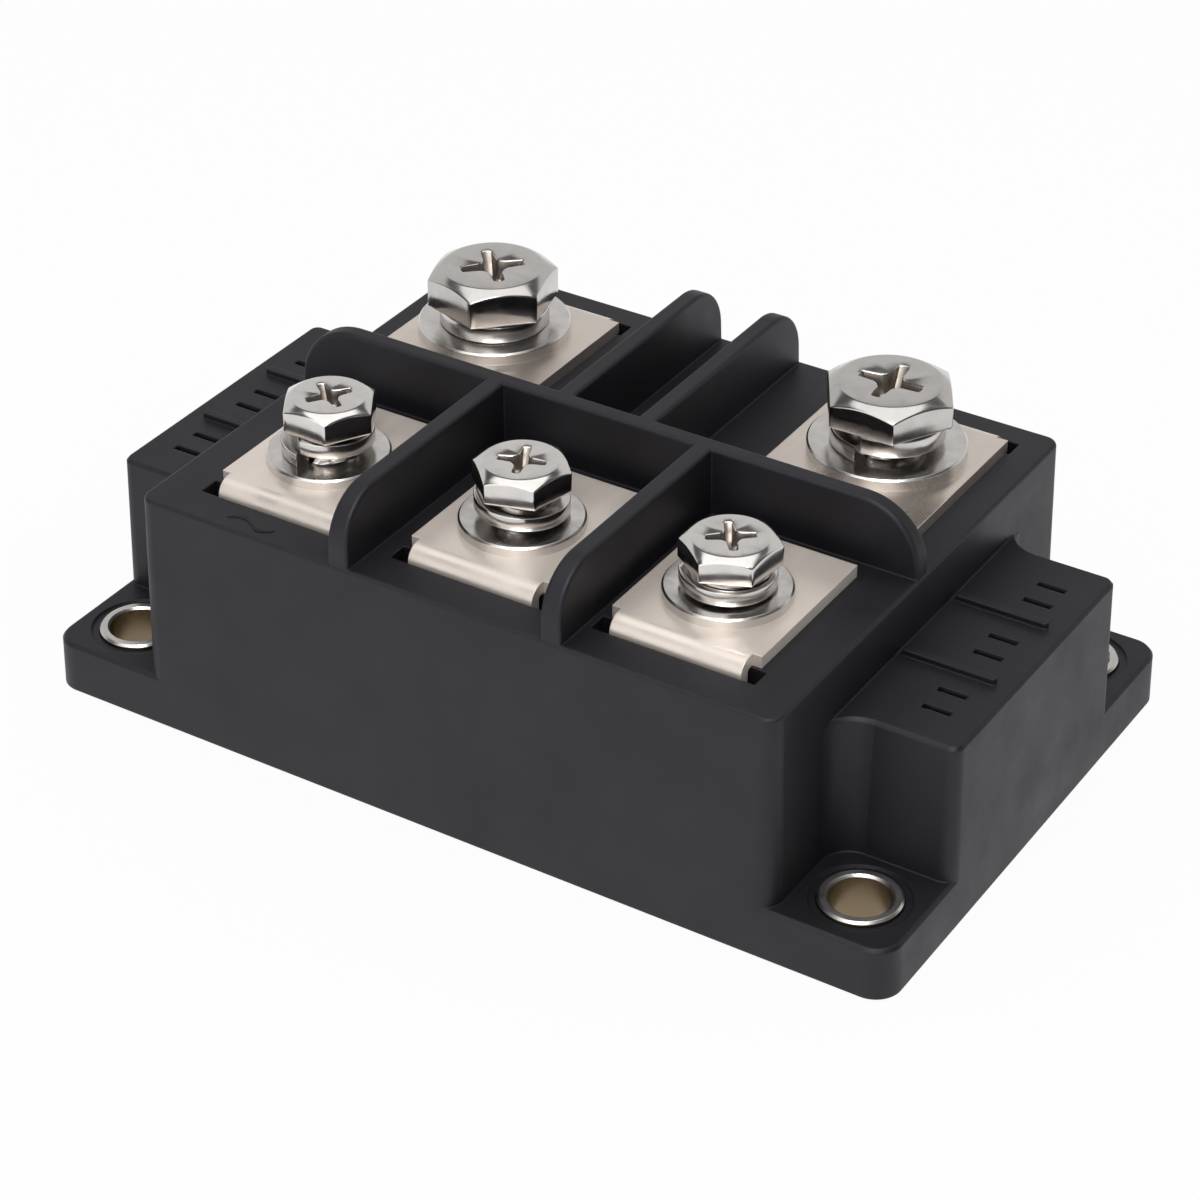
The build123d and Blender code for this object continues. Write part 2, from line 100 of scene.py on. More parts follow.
# Each terminal screw, in millimetres and degrees: width over the flats, thread, pitch, span of the cross
# and wire of the lock washer. Then the turn of its head, cross and washer slit, and how far its head
# stands aside, the collar lifts the hexagon and the top rises over the plain solid's.
AC_BOLT = dict(flats=9.3, size=6, pitch=1.0, cross=5.1, wire=1.6)
DC_BOLT = dict(flats=13, size=8, pitch=1.25, cross=7.1, wire=1.95)
BOLTS = {
    "ac_1": dict(AC_BOLT, turn=60, cross_turn=58, slit=267, shift=0.4, collar=0.12, rise=0.0),
    "ac_2": dict(AC_BOLT, turn=17, cross_turn=19, slit=130, shift=0.0, collar=0.12, rise=-0.1),
    "ac_3": dict(AC_BOLT, turn=24, cross_turn=37, slit=205, shift=0.2, collar=0.6, rise=0.27),
    "dc_left": dict(DC_BOLT, turn=44, cross_turn=46, slit=100, shift=-0.13, collar=0.15, rise=0.5),
    "dc_right": dict(DC_BOLT, turn=1, cross_turn=2, slit=267, shift=0.0, collar=0.12, rise=-0.2),
}

# the wave sign, and how far it stands in from the middle and before the edge of its terminal
MARK_LENGTH, MARK_SWING, MARK_LINE, MARK_HEIGHT = 5.6 * MM, 0.62 * MM, 0.55 * MM, 0.06 * MM
MARK_INSET, MARK_BEFORE, MARK_GAP, MARK_STEPS = 1.0 * MM, 3.0 * MM, 0.01 * MM, 32

# studio, in metres
SOFTBOX = dict(place=(0.24, -0.44, 0.76), aim=(0, 0, 0.02), size=(0.42, 0.26), power=3.2)
SOFTBOX_FADE = radians(4)
SWEEP_START = (-0.10, -0.30)
FLOOR_HALF = 3.0
FLOOR_GAP = 0.02 * MM
SENSOR_WIDTH = 36.0


class RectifierPlastic(bpy.types.PropertyGroup):
    """The housing's moulded plastic."""

    colour: FloatVectorProperty(
        name="Colour",
        description="Body colour of the moulding",
        subtype="COLOR",
        default=(0.0034, 0.0034, 0.0042),
        min=0.0,
        max=1.0,
    )
    roughness: FloatProperty(
        name="Roughness", description="Mean roughness of the moulded skin", default=0.52, min=0.0, max=1.0
    )
    grain: FloatProperty(
        name="Grain size",
        description="Size of one grain of the spark-eroded mould texture",
        default=0.16 * MM,
        subtype="DISTANCE",
    )
    edge_radius: FloatProperty(
        name="Edge radius",
        description="Radius to which the moulding's edges catch the light",
        default=0.30 * MM,
        subtype="DISTANCE",
    )


class RectifierMetal(bpy.types.PropertyGroup):
    """Plated metal of the terminals, screws and bushings."""

    sheet: FloatVectorProperty(
        name="Terminal plate",
        description="Nickel on the terminal sheet",
        subtype="COLOR",
        default=(0.86, 0.77, 0.695),
        min=0.0,
        max=1.0,
    )
    bright: FloatVectorProperty(
        name="Screw plate",
        description="Bright nickel on the screws and washers",
        subtype="COLOR",
        default=(0.70, 0.675, 0.65),
        min=0.0,
        max=1.0,
    )
    # the bore colour is brass made dark: a warm brass tone with painted shade of the bore in it
    brass: FloatVectorProperty(
        name="Bushing bore",
        description="Warm brass in the bores of the bushings",
        subtype="COLOR",
        default=(0.225, 0.176, 0.112),
        min=0.0,
        max=1.0,
    )
    copper: FloatVectorProperty(
        name="Copper",
        description="Bare copper of the power stage",
        subtype="COLOR",
        default=(0.80, 0.42, 0.28),
        min=0.0,
        max=1.0,
    )


class RectifierScrews(bpy.types.PropertyGroup):
    """Form of the terminal screws."""

    chamfer_angle: FloatProperty(
        name="Head chamfer",
        description="Slope of the head's top chamfer",
        default=radians(30),
        subtype="ANGLE",
    )
    disc_share: FloatProperty(
        name="Head disc", description="Radius of the flat top as a share of the flats", default=0.435
    )
    edge_round: FloatProperty(
        name="Edge round", description="Rounding of the head's edges", default=0.14 * MM, subtype="DISTANCE"
    )
    cross_width: FloatProperty(
        name="Cross arm", description="Width of the cross recess's arms as a share of its span", default=0.21
    )
    collar_share: FloatProperty(
        name="Bearing collar",
        description="Radius of the collar under the head as a share of the flats",
        default=0.455,
    )
    spring_share: FloatProperty(
        name="Lock washer", description="Width of the lock washer as a share of its solid's", default=0.93
    )
    rim_round: FloatProperty(
        name="Recess rim", description="Rounding of the recess's rim", default=0.14 * MM, subtype="DISTANCE"
    )
    slit_angle: FloatProperty(
        name="Washer slit",
        description="Width of the spring washer's slit",
        default=radians(7),
        subtype="ANGLE",
    )


class RectifierStage(bpy.types.PropertyGroup):
    """Camera and studio."""

    target: FloatVectorProperty(
        name="Target",
        description="Point that the camera looks at",
        default=(-1.48 * MM, 1.16 * MM, 10.5 * MM),
        subtype="TRANSLATION",
    )
    distance: FloatProperty(
        name="Distance", description="From the target to the camera", default=377.0 * MM, subtype="DISTANCE"
    )
    azimuth: FloatProperty(
        name="Azimuth",
        description="Turn of the camera",
        default=radians(32.12),
        subtype="ANGLE",
    )
    elevation: FloatProperty(
        name="Elevation", description="Height angle of the camera", default=radians(33.49), subtype="ANGLE"
    )
    lens: FloatProperty(
        name="Lens",
        description="Focal length in millimetres on a 36 mm sensor",
        default=102.65,
    )
    even_light: FloatProperty(
        name="Even light", description="Level of the even light on surfaces", default=0.82, min=0.0
    )
    roof_level: FloatProperty(
        name="Roof",
        description="Level of the white roof in mirrors",
        default=1.45,
        min=0.0,
    )
    sweep_level: FloatProperty(
        name="Sweep", description="Level of the sweep behind the object in mirrors", default=0.74, min=0.0
    )
    softbox_level: FloatProperty(
        name="Softbox", description="Level of the softbox at the front left in mirrors", default=1.4, min=0.0
    )
    dark_level: FloatProperty(
        name="Dark", description="Level of the unlit room in mirrors", default=0.10, min=0.0
    )
    roof_edge: FloatVectorProperty(
        name="Roof edge",
        description="Sine of the height angle where the roof starts",
        size=2,
        default=(0.80, 0.86),
    )
    sweep_edge: FloatVectorProperty(
        name="Sweep edge",
        description="Sine of the height angle where the sweep ends",
        size=2,
        default=(0.60, 0.66),
    )
    softbox_turn: FloatProperty(
        name="Softbox turn",
        description="Turn of the softbox from the camera",
        default=radians(-34),
        subtype="ANGLE",
    )
    softbox_half: FloatProperty(
        name="Softbox half width",
        description="Half the softbox's angle",
        default=radians(31),
        subtype="ANGLE",
    )
    floor_glow: FloatProperty(
        name="Floor glow", description="Share of plain white in the floor as the camera sees it", default=0.93
    )
    floor_colour: FloatVectorProperty(
        name="Floor",
        description="Colour of the floor",
        subtype="COLOR",
        default=(0.90, 0.90, 0.90),
        min=0.0,
        max=1.0,
    )


def group_socket(tree, name, in_out, kind, default=None):
    """One named input or output of a node group."""
    socket = tree.interface.new_socket(name=name, in_out=in_out, socket_type=kind)
    if default is not None:
        socket.default_value = default


def new_node(tree, kind, **values):
    """A node with its properties, and its inputs given as input_NAME."""
    node = tree.nodes.new(kind)
    for key, value in values.items():
        if key.startswith("input_"):
            node.inputs[key[6:].replace("_", " ")].default_value = value
        else:
            setattr(node, key, value)
    return node


def make_edge_group():
    """Edge mask from the difference between the rounded and the flat normal, and the rounded normal."""
    tree = bpy.data.node_groups.new("rounded_edges", "ShaderNodeTree")
    group_socket(tree, "Radius", "INPUT", "NodeSocketFloat", 0.3 * MM)
    group_socket(tree, "Edge", "OUTPUT", "NodeSocketFloat")
    group_socket(tree, "Normal", "OUTPUT", "NodeSocketVector")
    start = new_node(tree, "NodeGroupInput")
    end = new_node(tree, "NodeGroupOutput")
    bevel = new_node(tree, "ShaderNodeBevel", samples=6)
    geometry = new_node(tree, "ShaderNodeNewGeometry")
    dot = new_node(tree, "ShaderNodeVectorMath", operation="DOT_PRODUCT")
    tree.links.new(start.outputs["Radius"], bevel.inputs["Radius"])
    tree.links.new(bevel.outputs["Normal"], dot.inputs[0])
    tree.links.new(geometry.outputs["Normal"], dot.inputs[1])
    turned = spread(tree, dot.outputs["Value"], 0.0, 1.0, 1.0, 0.75)
    tree.links.new(turned, end.inputs["Edge"])
    tree.links.new(bevel.outputs["Normal"], end.inputs["Normal"])
    return tree


def make_grain_group():
    """Fine grain over slow waves, as a height and as a cloudy mask, on object coordinates."""
    tree = bpy.data.node_groups.new("skin_grain", "ShaderNodeTree")
    group_socket(tree, "Grain Scale", "INPUT", "NodeSocketFloat", 6000.0)
    group_socket(tree, "Cloud Scale", "INPUT", "NodeSocketFloat", 90.0)
    group_socket(tree, "Height", "OUTPUT", "NodeSocketFloat")
    group_socket(tree, "Cloud", "OUTPUT", "NodeSocketFloat")
    start = new_node(tree, "NodeGroupInput")
    end = new_node(tree, "NodeGroupOutput")
    place = new_node(tree, "ShaderNodeTexCoord")
    fine = new_node(tree, "ShaderNodeTexNoise", input_Detail=3.0, input_Roughness=0.55)
    cloud = new_node(tree, "ShaderNodeTexNoise", input_Detail=5.0, input_Roughness=0.6)
    tree.links.new(place.outputs["Object"], fine.inputs["Vector"])
    tree.links.new(place.outputs["Object"], cloud.inputs["Vector"])
    tree.links.new(start.outputs["Grain Scale"], fine.inputs["Scale"])
    tree.links.new(start.outputs["Cloud Scale"], cloud.inputs["Scale"])
    tree.links.new(fine.outputs["Fac"], end.inputs["Height"])
    tree.links.new(cloud.outputs["Fac"], end.inputs["Cloud"])
    return tree


def make_streak_group():
    """Fine drawn lines along one axis, as a height, with a broader band mask."""
    tree = bpy.data.node_groups.new("drawn_streaks", "ShaderNodeTree")
    group_socket(tree, "Stretch", "INPUT", "NodeSocketVector", (3000.0, 60.0, 3000.0))
    group_socket(tree, "Height", "OUTPUT", "NodeSocketFloat")
    group_socket(tree, "Bands", "OUTPUT", "NodeSocketFloat")
    start = new_node(tree, "NodeGroupInput")
    end = new_node(tree, "NodeGroupOutput")
    place = new_node(tree, "ShaderNodeTexCoord")
    scaled = new_node(tree, "ShaderNodeVectorMath", operation="MULTIPLY")
    lines = new_node(tree, "ShaderNodeTexNoise", input_Scale=1.0, input_Detail=3.0, input_Roughness=0.6)
    coarse = new_node(tree, "ShaderNodeTexNoise", input_Scale=0.12, input_Detail=2.0)
    tree.links.new(place.outputs["Object"], scaled.inputs[0])
    tree.links.new(start.outputs["Stretch"], scaled.inputs[1])
    tree.links.new(scaled.outputs["Vector"], lines.inputs["Vector"])
    tree.links.new(scaled.outputs["Vector"], coarse.inputs["Vector"])
    tree.links.new(lines.outputs["Fac"], end.inputs["Height"])
    tree.links.new(coarse.outputs["Fac"], end.inputs["Bands"])
    return tree


GROUPS = {}


def effect(tree, name, **inputs):
    """Places a shared node group in a material, with its own values."""
    if name not in GROUPS:
        makers = {"edges": make_edge_group, "grain": make_grain_group, "streaks": make_streak_group}
        GROUPS[name] = makers[name]()
    node = tree.nodes.new("ShaderNodeGroup")
    node.node_tree = GROUPS[name]
    for key, value in inputs.items():
        node.inputs[key.replace("_", " ")].default_value = value
    return node


def new_material(name, **principled):
    """A material with a Principled shader whose constant values stand on its own sockets."""
    material = bpy.data.materials.new(name)
    material.use_nodes = True
    tree = material.node_tree
    tree.nodes.clear()
    shader = tree.nodes.new("ShaderNodeBsdfPrincipled")
    output = tree.nodes.new("ShaderNodeOutputMaterial")
    tree.links.new(shader.outputs["BSDF"], output.inputs["Surface"])
    for key, value in principled.items():
        shader.inputs[key.replace("_", " ")].default_value = value
    return material, tree, shader


def colour_mix(tree, mask, first, second):
    """Colour from first to second where the mask goes from 0 to 1. Either may be a socket."""
    mix = new_node(tree, "ShaderNodeMix", data_type="RGBA")
    for slot, value in ((6, first), (7, second)):
        if isinstance(value, bpy.types.NodeSocket):
            tree.links.new(value, mix.inputs[slot])
        else:
            mix.inputs[slot].default_value = (*value, 1.0)
    tree.links.new(mask, mix.inputs["Factor"])
    return mix.outputs[2]


def spread(tree, source, low, high, from_low=0.3, from_high=0.7):
    """A value that runs from low to high as the source runs over its middle range."""
    node = new_node(
        tree,
        "ShaderNodeMapRange",
        input_From_Min=from_low,
        input_From_Max=from_high,
        input_To_Min=low,
        input_To_Max=high,
    )
    tree.links.new(source, node.inputs["Value"])
    return node.outputs["Result"]


def shade(colour, factor):
    """A colour made darker or lighter."""
    return tuple(min(1.0, c * factor) for c in colour)


def finish_surface(tree, shader, tone, rough, height, strength, depth, edges=None):
    """Joins a finish's tone, roughness and bumps to its shader, over the rounded edges where given."""
    tree.links.new(tone, shader.inputs["Base Color"])
    tree.links.new(rough, shader.inputs["Roughness"])
    bump = new_node(tree, "ShaderNodeBump", input_Strength=strength, input_Distance=depth)
    tree.links.new(height, bump.inputs["Height"])
    if edges:
        tree.links.new(edges.outputs["Normal"], bump.inputs["Normal"])
    tree.links.new(bump.outputs["Normal"], shader.inputs["Normal"])


def moulded_plastic():
    """Satin charcoal plastic with a fine mould grain, edges that catch the light, and a painted highlight
    along the edges.
    """
    look = bpy.context.scene.rectifier_plastic
    colour = tuple(look.colour)
    material, tree, shader = new_material(
        "moulded_plastic", Specular_IOR_Level=0.52, IOR=1.5, Specular_Tint=(0.91, 0.885, 1.0, 1.0)
    )
    edges = effect(tree, "edges", Radius=look.edge_radius)
    grain = effect(tree, "grain", Grain_Scale=1.0 / look.grain, Cloud_Scale=120.0)
    cloudy = colour_mix(tree, grain.outputs["Cloud"], shade(colour, 0.85), shade(colour, 1.2))
    # painted highlight: the edge mask lightens the colour 1.9 times along the moulding's edges
    painted_edge_highlight = colour_mix(tree, edges.outputs["Edge"], cloudy, shade(colour, 1.9))
    rough = spread(tree, grain.outputs["Cloud"], look.roughness - 0.05, look.roughness + 0.07)
    finish_surface(tree, shader, painted_edge_highlight, rough, grain.outputs["Height"], 0.22, 0.02 * MM, edges)
    return material


def plated_sheet(name, colour, metal_share, rough_low, rough_high, stretch, relief):
    """Nickel on drawn sheet: fine lines along one axis, cloudy sheen, and a painted highlight on the edges.
    """
    material, tree, shader = new_material(name, Metallic=metal_share, Specular_IOR_Level=0.6)
    edges = effect(tree, "edges", Radius=0.12 * MM)
    streaks = effect(tree, "streaks", Stretch=stretch)
    grain = effect(tree, "grain", Grain_Scale=1800.0, Cloud_Scale=160.0)
    tone = colour_mix(tree, grain.outputs["Cloud"], shade(colour, 0.88), shade(colour, 1.07))
    # painted highlight: the edge mask lightens the colour 1.15 times along the sheet's edges
    bright = colour_mix(tree, edges.outputs["Edge"], tone, shade(colour, 1.15))
    rough = spread(tree, streaks.outputs["Bands"], rough_low, rough_high)
    finish_surface(tree, shader, bright, rough, streaks.outputs["Height"], relief, FINE_BUMP, edges)
    return material


def plated_fastener(name, colour, rough_low, rough_high):
    """Bright plate on cold-headed steel, slightly uneven, with darker residue in the cloudy parts."""
    material, tree, shader = new_material(name, Metallic=1.0)
    grain = effect(tree, "grain", Grain_Scale=2600.0, Cloud_Scale=420.0)
    edges = effect(tree, "edges", Radius=0.08 * MM)
    tone = colour_mix(tree, grain.outputs["Cloud"], shade(colour, 0.86), shade(colour, 1.1))
    rough = spread(tree, grain.outputs["Cloud"], rough_high, rough_low)
    finish_surface(tree, shader, tone, rough, grain.outputs["Height"], 0.10, FINE_BUMP, edges)
    return material


def bushing_metal():
    """Nickel on the flat rim, warm brass on the turned sides, with turning rings; the brass is darkened with
    painted shade of the bore.
    """
    metal = bpy.context.scene.rectifier_metal
    material, tree, shader = new_material("bushing_metal", Metallic=1.0)
    geometry = new_node(tree, "ShaderNodeNewGeometry")
    axes = new_node(tree, "ShaderNodeSeparateXYZ")
    tree.links.new(geometry.outputs["Normal"], axes.inputs["Vector"])
    # faces that look up take the nickel; the others take the dark brass, which holds painted shade of the
    # bore
    up = spread(tree, axes.outputs["Z"], 0.0, 1.0, 0.25, 0.75)
    grain = effect(tree, "grain", Grain_Scale=2400.0, Cloud_Scale=300.0)
    bore_brass_with_painted_shade = colour_mix(tree, grain.outputs["Cloud"], shade(metal.brass, 0.75), shade(metal.brass, 1.2))
    both = colour_mix(tree, up, bore_brass_with_painted_shade, tuple(metal.bright))
    rough = spread(tree, grain.outputs["Cloud"], 0.24, 0.36)
    rings = effect(tree, "streaks", Stretch=TURNED_LINES)
    edges = effect(tree, "edges", Radius=0.12 * MM)
    finish_surface(tree, shader, both, rough, rings.outputs["Height"], 0.15, FINE_BUMP, edges)
    return material


def substrate_ceramic():
    """White alumina below, bare copper on the tracks above."""
    metal = bpy.context.scene.rectifier_metal
    material, tree, shader = new_material("substrate_ceramic")
    low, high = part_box("substrate_1")
    split = low.z + 0.7 * (high.z - low.z)
    place = new_node(tree, "ShaderNodeTexCoord")
    axes = new_node(tree, "ShaderNodeSeparateXYZ")
    tree.links.new(place.outputs["Object"], axes.inputs["Vector"])
    track = spread(tree, axes.outputs["Z"], 0.0, 1.0, split, split + 0.02 * MM)
    grain = effect(tree, "grain", Grain_Scale=5000.0, Cloud_Scale=200.0)
    copper = colour_mix(tree, grain.outputs["Cloud"], shade(metal.copper, 0.8), tuple(metal.copper))
    both = colour_mix(tree, track, (0.82, 0.81, 0.77), copper)
    tree.links.new(both, shader.inputs["Base Color"])
    tree.links.new(track, shader.inputs["Metallic"])
    tree.links.new(spread(tree, grain.outputs["Cloud"], 0.35, 0.5), shader.inputs["Roughness"])
    return material


def grained(name, colour, roughness, metallic=0.0, relief=0.1, **principled):
    """A plain finish with cloudy tone and fine grain."""
    material, tree, shader = new_material(name, Metallic=metallic, **principled)
    grain = effect(tree, "grain", Grain_Scale=4000.0, Cloud_Scale=260.0)
    tone = colour_mix(tree, grain.outputs["Cloud"], shade(colour, 0.88), shade(colour, 1.08))
    rough = spread(tree, grain.outputs["Cloud"], roughness - 0.05, roughness + 0.06)
    finish_surface(tree, shader, tone, rough, grain.outputs["Height"], relief, FINE_BUMP)
    return material


def paint(names, material):
    """Gives CAD nodes their finish."""
    for name in names:
        node = NODES[name]
        node.data.materials.clear()
        node.data.materials.append(material)


def named(*starts):
    """The CAD nodes whose names start in one of these ways."""
    return sorted(n for n in NODES if n.startswith(starts))


def finish_mesh(bm, name, material):
    """Turns a bmesh into an object with its place in its mesh."""
    bmesh.ops.remove_doubles(bm, verts=bm.verts, dist=0.002 * MM)
    bmesh.ops.recalc_face_normals(bm, faces=bm.faces)
    for face in bm.faces:
        face.smooth = True
    for edge in bm.edges:
        edge.smooth = len(edge.link_faces) != 2 or edge.calc_face_angle() < SHARP_ANGLE
    mesh = bpy.data.meshes.new(name)
    bm.to_mesh(mesh)
    bm.free()
    mesh.materials.append(material)
    piece = bpy.data.objects.new(name, mesh)
    bpy.context.scene.collection.objects.link(piece)
    return piece


def ring_edges(bm, ring):
    """The edges of a closed ring."""
    return [bm.edges.get((ring[i], ring[(i + 1) % len(ring)])) for i in range(len(ring))]


def next_ring(bm, ring, place):
    """Extrudes a closed ring of vertices and puts the new one where place says, by its index."""
    made = bmesh.ops.extrude_edge_only(bm, edges=ring_edges(bm, ring))["geom"]
    fresh = {v for v in made if isinstance(v, bmesh.types.BMVert)}
    new = []
    for vert in ring:
        new.append(next(e.other_vert(vert) for e in vert.link_edges if e.other_vert(vert) in fresh))
    for index, vert in enumerate(new):
        vert.co = place(index)
    return new


def whole_edges(bm, ring):
    """The edges of a closed ring that are left after other edges of the mesh were cut."""
    return [edge for edge in ring_edges(bm, [v for v in ring if v.is_valid]) if edge]


def cross_outline(half_span, half_width):
    """Outline of a cross recess, with rounded tips and flared inner corners."""
    tips = [(1.0, -0.8), (1.04, -0.35), (1.04, 0.35), (1.0, 0.8)]
    points = []
    for quarter in range(4):
        turn = Matrix.Rotation(quarter * pi / 2, 2)
        points.append(turn @ Vector((1.4 * half_width, -1.4 * half_width)))
        points.append(turn @ Vector((2.1 * half_width, -1.0 * half_width)))
        for reach, across in tips:
            points.append(turn @ Vector((reach * half_span, across * half_width)))
        points.append(turn @ Vector((2.1 * half_width, 1.0 * half_width)))
    return points


def screw_axis(name):
    """The foot of a terminal screw's axis, in the middle of its flat washer."""
    low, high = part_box(name + "_washer")
    return Vector(((low.x + high.x) / 2, (low.y + high.y) / 2, 0))


class HeadForm:
    """Sizes of one terminal screw, read off its solid."""

    def __init__(self, name, bolt):
        look = bpy.context.scene.rectifier_screws
        low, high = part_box(name + "_bolt")
        self.centre = screw_axis(name)
        self.head_centre = self.centre + Vector((bolt["shift"] * MM, 0, 0))
        self.collar = bolt["collar"] * MM
        self.tip = low.z
        self.top = high.z + bolt["rise"] * MM
        self.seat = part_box(name + "_spring_washer")[1].z
        self.flats = bolt["flats"] * MM
        self.shank = bolt["size"] / 2 * MM
        self.pitch = bolt["pitch"] * MM
        self.disc = self.flats * look.disc_share
        self.slope = tan(look.chamfer_angle)
        self.turn = radians(bolt["turn"])
        self.cross_turn = radians(bolt["cross_turn"])
        self.cross_half = bolt["cross"] / 2 * MM

    def hexagon(self, angle):
        """Distance from the axis to the hexagon's side in this direction."""
        from_corner = abs((angle - self.turn + pi / 6) % (pi / 3) - pi / 6)
        return self.flats / 2 / cos(pi / 6 - from_corner)

    def at(self, radius, angle, z):
        """A point by its distance from the screw's axis, its direction and its level."""
        return self.centre + Vector((radius * cos(angle), radius * sin(angle), z))


def thread_rings(bm, ring, form, angles):
    """Rolled thread from the screw's tip to its head, as rings that follow the helix."""
    depth = THREAD_DEPTH_SHARE * form.pitch
    length = form.seat - form.tip - THREAD_RUN_OUT
    steps = int(length / form.pitch * TURN_STEPS)
    start = form.tip + POINT_HEIGHT
    for step in range(steps + 1):
        z = start + step * length / steps
        ends = min(1.0, step / TURN_STEPS, (steps - step) / TURN_STEPS)

        def place(index, z=z, ends=ends):
            phase = (z / form.pitch - angles[index] / (2 * pi)) % 1.0
            crest = abs(2 * phase - 1)
            return form.at(form.shank - ends * depth * (1 - crest), angles[index], z)

        ring = next_ring(bm, ring, place)
    return ring


def make_screw(name, material, recess_shade_material):
    """A hexagon head screw with a cross recess and a rolled thread, in place of the plain one."""
    look = bpy.context.scene.rectifier_screws
    form = HeadForm(name, BOLTS[name])
    count = 6 * SIDE_STEPS
    angles = [form.turn + 2 * pi * i / count for i in range(count)]
    bm = bmesh.new()
    ring = bmesh.ops.create_circle(bm, cap_ends=True, segments=count, radius=1)["verts"]
    ring = sorted(ring, key=lambda v: v.index)
    for index, vert in enumerate(ring):
        vert.co = form.at(form.shank - POINT_CHAMFER, angles[index], form.tip)
    ring = next_ring(bm, ring, lambda i: form.at(form.shank, angles[i], form.tip + POINT_HEIGHT))
    ring = thread_rings(bm, ring, form, angles)
    ring = next_ring(bm, ring, lambda i: form.at(form.shank, angles[i], form.seat))

    # the head: collar, hexagon, chamfer and flat top
    form.centre = form.head_centre
    collar = form.flats * look.collar_share
    hex_level = form.seat + form.collar
    ring = next_ring(bm, ring, lambda i: form.at(collar, angles[i], form.seat))
    ring = next_ring(bm, ring, lambda i: form.at(collar, angles[i], hex_level))
    ring = next_ring(bm, ring, lambda i: form.at(form.hexagon(angles[i]) * 0.97, angles[i], hex_level))
    wall_level = hex_level + UNDER_ROUND
    low_ring = next_ring(bm, ring, lambda i: form.at(form.hexagon(angles[i]), angles[i], wall_level))

    def chamfer_line(index):
        reach = form.hexagon(angles[index])
        return form.at(reach, angles[index], form.top - max(0.0, reach - form.disc) * form.slope)

    arc_ring = next_ring(bm, low_ring, chamfer_line)
    disc_ring = next_ring(bm, arc_ring, lambda i: form.at(form.disc, angles[i], form.top))

    # the recess: steep sides, its arms running out towards the tips as it goes down
    turn = Matrix.Rotation(form.cross_turn, 2)

    def recess_line(span, width, depth):
        outline = cross_outline(span * form.cross_half, width * look.cross_width * form.cross_half)
        flat = [turn @ point for point in outline]
        return [form.centre + Vector((p.x, p.y, form.top - depth * form.cross_half)) for p in flat]

    rim = [bm.verts.new(point) for point in recess_line(*RECESS_LEVELS[0])]
    for index in range(len(rim)):
        bm.edges.new((rim[index], rim[(index + 1) % len(rim)]))
    bmesh.ops.triangle_fill(
        bm, use_beauty=True, use_dissolve=False, edges=ring_edges(bm, disc_ring) + ring_edges(bm, rim)
    )
    outside = set(bm.faces)
    inside = rim
    for level in RECESS_LEVELS[1:]:
        line = recess_line(*level)
        inside = next_ring(bm, inside, lambda i, line=line: line[i])
    bmesh.ops.contextual_create(bm, geom=inside)
    # faces inside the cross recess take the second material, a darker metal that is painted shade
    for face in bm.faces:
        face.material_index = 0 if face in outside else 1

    corners = [bm.edges.get((low_ring[i], arc_ring[i])) for i in range(0, count, SIDE_STEPS)]
    soft = corners + ring_edges(bm, arc_ring) + ring_edges(bm, disc_ring) + ring_edges(bm, low_ring)
    bmesh.ops.bevel(
        bm,
        geom=soft,
        offset=look.edge_round,
        offset_type="OFFSET",
        segments=2,
        profile=0.5,
        affect="EDGES",
        material=-1,
        clamp_overlap=True,
    )
    bmesh.ops.bevel(
        bm,
        geom=whole_edges(bm, rim),
        offset=look.rim_round,
        offset_type="OFFSET",
        segments=2,
        profile=0.5,
        affect="EDGES",
        material=0,
        clamp_overlap=True,
    )
    piece = finish_mesh(bm, name + "_screw", material)
    piece.data.materials.append(recess_shade_material)
    return piece


def make_spring_washer(name, material):
    """A lock washer: one turn of square wire, its ends parted and set apart in height."""
    look = bpy.context.scene.rectifier_screws
    low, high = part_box(name + "_spring_washer")
    bolt = BOLTS[name]
    outer = (high.x - low.x) / 2 * look.spring_share
    inner = (bolt["size"] / 2 + WIRE_CLEARANCE) * MM
    wire = bolt["wire"] * MM
    bm = bmesh.new()
    square = bmesh.ops.create_grid(bm, x_segments=1, y_segments=1, size=0.5)["verts"]
    for vert in square:
        radial = inner + (vert.co.x + 0.5) * (outer - inner)
        level = low.z + (vert.co.y + 0.5) * wire
        vert.co = Vector((radial, 0, level))
    bmesh.ops.bevel(
        bm,
        geom=list(bm.verts),
        offset=WIRE_ROUND,
        offset_type="OFFSET",
        segments=2,
        profile=0.5,
        affect="VERTICES",
        material=-1,
    )
    start = bm.faces[:]
    swept = bmesh.ops.spin(
        bm,
        geom=start[0].edges[:] + start[0].verts[:],
        cent=(0, 0, 0),
        axis=(0, 0, -1),
        dvec=(0, 0, (high.z - low.z - wire) / COIL_STEPS),
        angle=2 * pi - look.slit_angle,
        steps=COIL_STEPS,
        use_merge=False,
    )
    last = [v for v in swept["geom_last"] if isinstance(v, bmesh.types.BMVert)]
    bmesh.ops.contextual_create(bm, geom=last)
    first_angle = radians(bolt["slit"]) - look.slit_angle / 2
    bmesh.ops.rotate(bm, verts=bm.verts, cent=(0, 0, 0), matrix=Matrix.Rotation(first_angle, 3, "Z"))
    bmesh.ops.translate(bm, verts=bm.verts, vec=screw_axis(name))
    return finish_mesh(bm, name + "_lock_washer", material)


